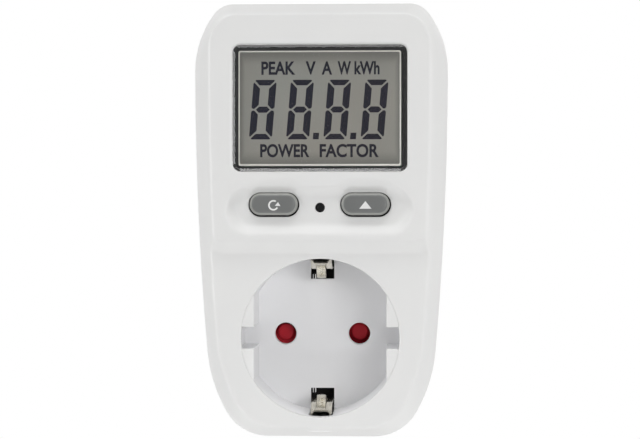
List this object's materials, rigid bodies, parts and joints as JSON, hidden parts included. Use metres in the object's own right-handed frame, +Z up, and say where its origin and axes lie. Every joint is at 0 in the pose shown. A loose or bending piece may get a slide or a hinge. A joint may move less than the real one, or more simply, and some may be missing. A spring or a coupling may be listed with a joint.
{
  "type": "plug-in energy monitor",
  "caption": "Plug-in energy meter: white case on its own mains plug, segment display, oval keys, recessed reset pin and a shuttered, earthed socket in front.",
  "frame": {"origin": "centre of the plug's end face, midway between the two pins, where the face meets the outlet's floor", "axes": "+Y along the pins into the wall outlet, +Z up towards the display, +X to the right as seen from the front"},
  "size_m": [0.0636, 0.0768, 0.1087],
  "materials": {
    "white_plastic": "satin moulded",
    "socket_white": "satin moulded",
    "window_clear": "polished clear",
    "black_plastic": "matt",
    "display_glass": "polarised",
    "contact_rubber": "matt",
    "board_green": "lacquered",
    "key_grey": "satin",
    "capacitor_yellow": "gloss",
    "capacitor_blue": "gloss sleeve",
    "battery_green": "gloss sleeve",
    "varistor_blue": "dipped",
    "copper_alloy": "bare strip",
    "brass": "bare sheet",
    "pin_nickel": "nickel plated",
    "nickel": "nickel plated",
    "shutter_red": "satin",
    "spring_steel": "bright drawn",
    "screw_steel": "zinc plated",
    "lead_brown": "satin",
    "label_grey": "satin film",
    "lead_blue": "satin"
  },
  "bodies": {
    "case": {"front_cover": "white_plastic", "rear_cover": "white_plastic", "socket_cup": "socket_white", "socket_floor": "socket_white", "lcd_window": "window_clear", "lcd_frame": "black_plastic", "lcd_glass": "display_glass", "zebra_strips": "contact_rubber", "main_board": "board_green", "mode_switch": "black_plastic", "up_switch": "black_plastic", "reset_switch": "black_plastic", "metering_chip": "black_plastic", "film_capacitor": "capacitor_yellow", "filter_capacitor": "capacitor_blue", "backup_battery": "battery_green", "varistor": "varistor_blue", "shunt": "copper_alloy", "line_contact": "brass", "neutral_contact": "brass", "line_pin": "pin_nickel", "neutral_pin": "pin_nickel", "earth_strap": "nickel", "shutter_spring": "spring_steel", "contact_carrier": "black_plastic", "case_screws": "screw_steel", "board_screws": "screw_steel", "carrier_screws": "screw_steel", "line_lead": "lead_brown", "rating_label": "label_grey", "neutral_lead": "lead_blue"},
    "mode_key": {"mode_button": "key_grey", "mode_plunger": "black_plastic"},
    "up_key": {"up_button": "key_grey", "up_plunger": "black_plastic"},
    "reset_pin": {"reset_plunger": "black_plastic"},
    "shutter": {"safety_shutter": "shutter_red"},
    "top_clip": {"earth_clip_top": "nickel"},
    "bottom_clip": {"earth_clip_bottom": "nickel"}
  },
  "joints": [
    {"name": "mode_press", "type": "slide", "parent": "case", "child": "mode_key", "axis": [0, 1, 0], "range_m": [0, 0.0005], "stiffness_N_per_m": 2000, "springref_m": -0.0002},
    {"name": "up_press", "type": "slide", "parent": "case", "child": "up_key", "axis": [0, 1, 0], "range_m": [0, 0.0005], "stiffness_N_per_m": 2000, "springref_m": -0.0002},
    {"name": "reset_press", "type": "slide", "parent": "case", "child": "reset_pin", "axis": [0, 1, 0], "range_m": [0, 0.0003], "stiffness_N_per_m": 3000, "springref_m": -0.0002},
    {"name": "shutter_turn", "type": "hinge", "parent": "case", "child": "shutter", "pos_m": [0, -0.0334, 0], "axis": [0, -1, 0], "range_deg": [0, 42], "stiffness_Nm_per_rad": 0.01, "springref_deg": -17.19, "deforming": ["shutter_spring"]},
    {"name": "earth_top_flex", "type": "hinge", "parent": "case", "child": "top_clip", "pos_m": [0, -0.0313, 0.0185], "axis": [-1, 0, 0], "range_deg": [0, 5], "stiffness_Nm_per_rad": 0.4},
    {"name": "earth_bottom_flex", "type": "hinge", "parent": "case", "child": "bottom_clip", "pos_m": [0, -0.0313, -0.0185], "axis": [1, 0, 0], "range_deg": [0, 5], "stiffness_Nm_per_rad": 0.4}
  ]
}
